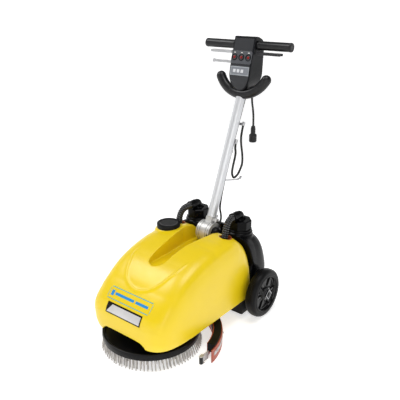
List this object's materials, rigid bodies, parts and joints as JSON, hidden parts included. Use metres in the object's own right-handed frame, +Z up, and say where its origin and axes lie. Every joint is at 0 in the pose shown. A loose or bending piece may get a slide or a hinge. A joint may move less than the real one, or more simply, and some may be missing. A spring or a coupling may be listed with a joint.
{
  "type": "floor scrubber machine",
  "caption": "Walk-behind disc floor scrubber with a moulded water-tank hood, recovery tank with hoses, curved squeegee, two wheels and a folding handle.",
  "frame": {"origin": "on the floor, under the middle of the machine's length and width", "axes": "+Z up, -Y towards the brush end (the machine's front), +Y towards the operator's handle, +X to the right seen from the front"},
  "size_m": [0.533, 0.826, 1.073],
  "materials": {
    "hood_yellow": "satin rotomoulded",
    "black_plastic": "satin",
    "grey_plastic": "satin",
    "white_plastic": "satin",
    "rubber_black": "matt",
    "tyre_rubber": "satin",
    "rubber_red": "matt",
    "bristle": "fibres",
    "aluminium_tube": "anodised",
    "steel": "zinc plated",
    "painted_black": "satin",
    "cast_alloy": "cast, satin",
    "switch_red": "gloss",
    "orange_plastic": "gloss"
  },
  "bodies": {
    "chassis": {"chassis_frame": "black_plastic", "body_shell": "hood_yellow", "filler_strainer": "white_plastic", "axle": "steel", "axle_brackets": "steel", "ball_bearings": "steel", "frame_bolts": "steel", "gearbox_housing": "cast_alloy", "brush_motor": "painted_black", "vacuum_motor": "painted_black", "water_valve": "white_plastic", "recovery_tank": "black_plastic", "hose_elbows": "black_plastic", "suction_hose": "black_plastic", "vacuum_hose": "black_plastic", "float_cage": "white_plastic", "pivot_bracket": "cast_alloy"},
    "filler_lid": {"filler_cap": "black_plastic"},
    "ring_left": {"tank_ring_left": "black_plastic"},
    "ring_right": {"tank_ring_right": "black_plastic"},
    "float": {"float_ball": "white_plastic"},
    "brush": {"drive_spindle": "steel", "brush_block": "black_plastic", "brush_bristles": "bristle"},
    "pinion": {"motor_pinion": "steel"},
    "fan": {"vacuum_fan": "white_plastic"},
    "wheel_left": {"tyre_left": "tyre_rubber", "rim_left": "black_plastic"},
    "wheel_right": {"tyre_right": "tyre_rubber", "rim_right": "black_plastic"},
    "squeegee": {"squeegee_body": "black_plastic", "squeegee_front_blade": "rubber_red", "squeegee_rear_blade": "rubber_red", "squeegee_arms": "steel", "squeegee_hardware": "steel"},
    "roller_left": {"squeegee_roller_left": "rubber_black"},
    "roller_right": {"squeegee_roller_right": "rubber_black"},
    "handle": {"pivot_knuckle": "cast_alloy", "pivot_pin": "steel", "pivot_cap": "black_plastic", "handle_tube": "aluminium_tube", "head_housing": "grey_plastic", "head_cover": "grey_plastic", "grip_bar": "steel", "hand_grips": "rubber_black", "crescent_grip": "black_plastic", "switch_panel": "black_plastic", "wiring_cable": "rubber_black", "slack_cable": "rubber_black", "cable_clips": "steel", "pigtail_gland": "rubber_black", "pigtail_cord": "rubber_black", "pigtail_socket": "rubber_black"},
    "locking_pin": {"lock_pin": "steel"},
    "rocker_left": {"switch_left": "switch_red"},
    "rocker_middle": {"switch_middle": "switch_red"},
    "rocker_right": {"switch_right": "switch_red"},
    "squeeze_left": {"grip_lever_left": "aluminium_tube"},
    "squeeze_right": {"grip_lever_right": "painted_black"},
    "release": {"release_lever": "aluminium_tube"}
  },
  "joints": [
    {"name": "brush_spin", "type": "hinge", "parent": "chassis", "child": "brush", "pos_m": [0, -0.2265, 0], "axis": [0, 0, 1], "continuous": true},
    {"name": "pinion_spin", "type": "hinge", "parent": "chassis", "child": "pinion", "pos_m": [0, -0.1425, 0], "axis": [0, 0, 1], "continuous": true},
    {"name": "fan_spin", "type": "hinge", "parent": "chassis", "child": "fan", "pos_m": [0, 0.0315, 0], "axis": [0, 0, 1], "continuous": true},
    {"name": "wheel_left_spin", "type": "hinge", "parent": "chassis", "child": "wheel_left", "pos_m": [0, 0.1825, 0.1], "axis": [1, 0, 0], "continuous": true},
    {"name": "wheel_right_spin", "type": "hinge", "parent": "chassis", "child": "wheel_right", "pos_m": [0, 0.1825, 0.1], "axis": [1, 0, 0], "continuous": true},
    {"name": "filler_lift", "type": "slide", "parent": "chassis", "child": "filler_lid", "axis": [0, 0, 1], "range_m": [0, 0.05]},
    {"name": "ring_left_turn", "type": "hinge", "parent": "chassis", "child": "ring_left", "pos_m": [-0.107, 0.1895, 0.37], "axis": [0, 0, 1], "range_deg": [0, 90]},
    {"name": "ring_right_turn", "type": "hinge", "parent": "chassis", "child": "ring_right", "pos_m": [0.107, 0.1895, 0.37], "axis": [0, 0, 1], "range_deg": [0, 90]},
    {"name": "float_rise", "type": "slide", "parent": "chassis", "child": "float", "axis": [0, 0, 1], "range_m": [0, 0.04]},
    {"name": "squeegee_lift", "type": "hinge", "parent": "chassis", "child": "squeegee", "pos_m": [0, 0.0835, 0.055], "axis": [-1, 0, 0], "range_deg": [0, 6]},
    {"name": "roller_left_spin", "type": "hinge", "parent": "squeegee", "child": "roller_left", "pos_m": [-0.244, -0.2335, 0.02], "axis": [0, 0, 1], "continuous": true},
    {"name": "roller_right_spin", "type": "hinge", "parent": "squeegee", "child": "roller_right", "pos_m": [0.244, -0.2335, 0.02], "axis": [0, 0, 1], "continuous": true},
    {"name": "handle_tilt", "type": "hinge", "parent": "chassis", "child": "handle", "pos_m": [0, 0.1195, 0.328], "axis": [1, 0, 0], "range_deg": [-35, 110]},
    {"name": "lock_pin_slide", "type": "slide", "parent": "handle", "child": "locking_pin", "axis": [0, 0.3778, 0.9259], "range_m": [0, 0.0081]},
    {"name": "rocker_left_tip", "type": "hinge", "parent": "handle", "child": "rocker_left", "pos_m": [-0.032, 0.32551, 0.99582], "axis": [1, 0, 0], "range_deg": [0, 16]},
    {"name": "rocker_middle_tip", "type": "hinge", "parent": "handle", "child": "rocker_middle", "pos_m": [0, 0.32551, 0.99582], "axis": [1, 0, 0], "range_deg": [0, 16]},
    {"name": "rocker_right_tip", "type": "hinge", "parent": "handle", "child": "rocker_right", "pos_m": [0.032, 0.32551, 0.99582], "axis": [1, 0, 0], "range_deg": [0, 16]},
    {"name": "squeeze_left_turn", "type": "hinge", "parent": "handle", "child": "squeeze_left", "pos_m": [-0.06, 0.3535, 1.012], "axis": [0, 1, 0], "range_deg": [0, 2.8], "stiffness_Nm_per_rad": 1, "springref_deg": -4.58},
    {"name": "squeeze_right_turn", "type": "hinge", "parent": "handle", "child": "squeeze_right", "pos_m": [0.06, 0.3535, 1.012], "axis": [0, -1, 0], "range_deg": [0, 2.8], "stiffness_Nm_per_rad": 1, "springref_deg": -4.58},
    {"name": "release_turn", "type": "hinge", "parent": "handle", "child": "release", "pos_m": [-0.06, 0.3495, 0.973], "axis": [0, 1, 0], "range_deg": [0, 11], "stiffness_Nm_per_rad": 0.8, "springref_deg": -4.58}
  ],
  "couplings": [
    {"joint": "pinion_spin", "follows": "brush_spin", "ratio": -3},
    {"joint": "lock_pin_slide", "follows": "release_turn", "m_per_rad": 0.0418}
  ]
}
